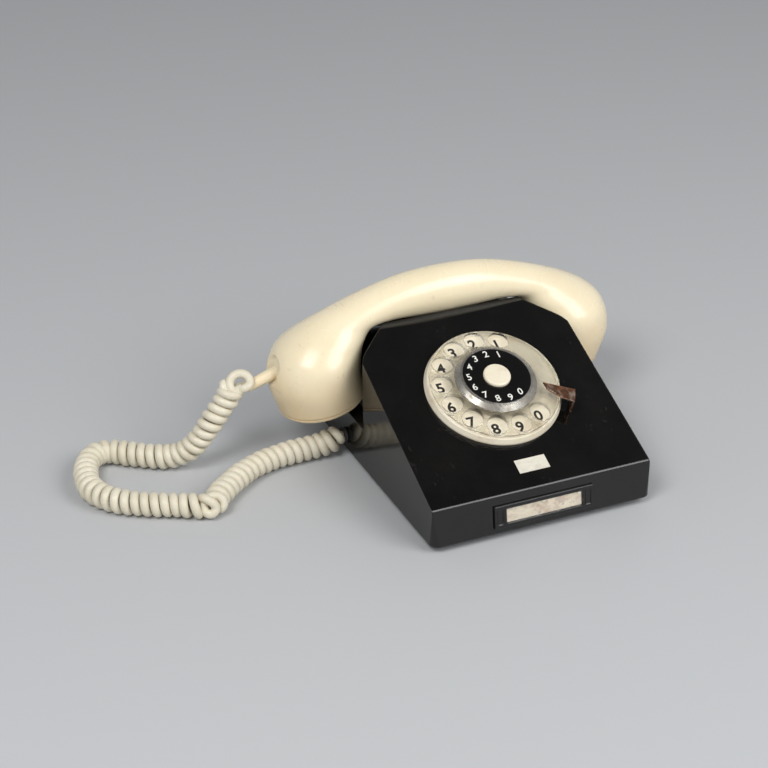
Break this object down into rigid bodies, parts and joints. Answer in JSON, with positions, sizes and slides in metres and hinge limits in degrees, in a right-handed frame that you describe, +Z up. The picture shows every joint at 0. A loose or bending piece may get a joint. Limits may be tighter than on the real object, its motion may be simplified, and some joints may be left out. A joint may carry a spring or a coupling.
{
  "type": "rotary dial telephone",
  "caption": "Desk telephone with a rotary dial: black wedge-shaped shell, lift-off ivory handset across the top, curly cord, inner ringer, dial works and hook switch.",
  "frame": {"origin": "on the table, under the middle of the telephone without its cord", "axes": "+Z up, +Y from the front edge to the back, +X to the user's right; the handset lies along X"},
  "size_m": [0.3303, 0.1729, 0.101],
  "materials": {
    "black_plastic": "polished, with fine scratches",
    "black_plate": "matt moulded",
    "rubber": "matt",
    "steel": "plated",
    "card": "stained card",
    "sticker": "plain worn paper",
    "clear_window": "clear, scratched",
    "clear_wheel": "clear, yellowed",
    "ivory_plastic": "polished, yellowed with age",
    "cream_plastic": "satin",
    "hub_metal": "dulled",
    "stop_copper": "worn brown plating",
    "brass": "tarnished",
    "brown_board": "phenolic",
    "coil_enamel": "enamelled wire",
    "foil": "waxed foil",
    "cord_plastic": "satin, aged"
  },
  "bodies": {
    "base": {"housing": "black_plastic", "base_plate": "black_plate", "rubber_feet": "rubber", "base_screws": "steel", "label_frame": "black_plastic", "label_card": "card", "label_window": "clear_window", "deck_sticker": "sticker", "number_ring": "cream_plastic", "finger_stop": "stop_copper", "dial_frame": "steel", "return_spring": "steel", "governor_cup": "steel", "pulse_contacts": "brass", "circuit_board": "brown_board", "board_posts": "steel", "speech_transformer": "coil_enamel", "capacitor": "foil", "terminal_block": "brown_board", "terminal_screws": "steel", "ringer_frame": "steel", "gong_left": "brass", "gong_right": "brass", "gong_screws": "steel", "ringer_coils": "coil_enamel", "ringer_core": "steel", "clapper_pin": "steel", "hook_bracket": "steel", "hook_pin": "steel", "cord_grommet": "rubber", "line_gland": "rubber", "cord_coil": "cord_plastic", "cord_tail_base": "cord_plastic"},
    "handset": {"handset_shell": "ivory_plastic", "mouth_cap": "ivory_plastic", "ear_cap": "ivory_plastic", "microphone": "steel", "receiver": "brown_board", "cord_sleeve": "ivory_plastic", "cord_tail_handset": "cord_plastic"},
    "dial": {"finger_wheel": "clear_wheel", "hub_ring": "hub_metal", "number_disc": "black_plastic", "centre_cap": "cream_plastic", "dial_shaft": "brass", "main_gear": "brass"},
    "pulse_wheel": {"pulse_wheel": "brown_board"},
    "governor": {"governor": "brass"},
    "plungers": {"plunger_left": "black_plastic", "plunger_right": "black_plastic", "plunger_bar": "steel"},
    "hook_lever": {"hook_lever": "steel"},
    "clapper": {"clapper": "steel"}
  },
  "joints": [
    {"name": "handset_lift", "type": "slide", "parent": "base", "child": "handset", "axis": [0, 0, 1], "range_m": [0, 0.12]},
    {"name": "dial_spin", "type": "hinge", "parent": "base", "child": "dial", "pos_m": [0, -0.01758, 0.05381], "axis": [0, -0.3987, 0.9171], "range_deg": [-320, 0], "stiffness_Nm_per_rad": 0.004, "springref_deg": 57.3},
    {"name": "clapper_swing", "type": "hinge", "parent": "base", "child": "clapper", "pos_m": [0, 0.026, 0.0162], "axis": [0, 0, 1], "range_deg": [-3.5, 3.5], "stiffness_Nm_per_rad": 0.002},
    {"name": "plunger_rise", "type": "slide", "parent": "base", "child": "plungers", "axis": [0, 0, 1], "range_m": [0, 0.005]},
    {"name": "hook_lever_turn", "type": "hinge", "parent": "base", "child": "hook_lever", "pos_m": [0, 0.063, 0.0405], "axis": [-1, 0, 0], "range_deg": [0, 18]},
    {"name": "pulse_wheel_spin", "type": "hinge", "parent": "base", "child": "pulse_wheel", "pos_m": [0, -0.03097, 0.04799], "axis": [0, -0.3987, 0.9171], "range_deg": [0, 1152]},
    {"name": "governor_spin", "type": "hinge", "parent": "base", "child": "governor", "pos_m": [0.0224, -0.03097, 0.04799], "axis": [0, -0.3987, 0.9171], "range_deg": [-2880, 0]}
  ],
  "couplings": [
    {"joint": "plunger_rise", "follows": "handset_lift", "ratio": 0.041666},
    {"joint": "hook_lever_turn", "follows": "handset_lift", "rad_per_m": 2.6179},
    {"joint": "pulse_wheel_spin", "follows": "dial_spin", "ratio": -3.6},
    {"joint": "governor_spin", "follows": "dial_spin", "ratio": 9}
  ]
}
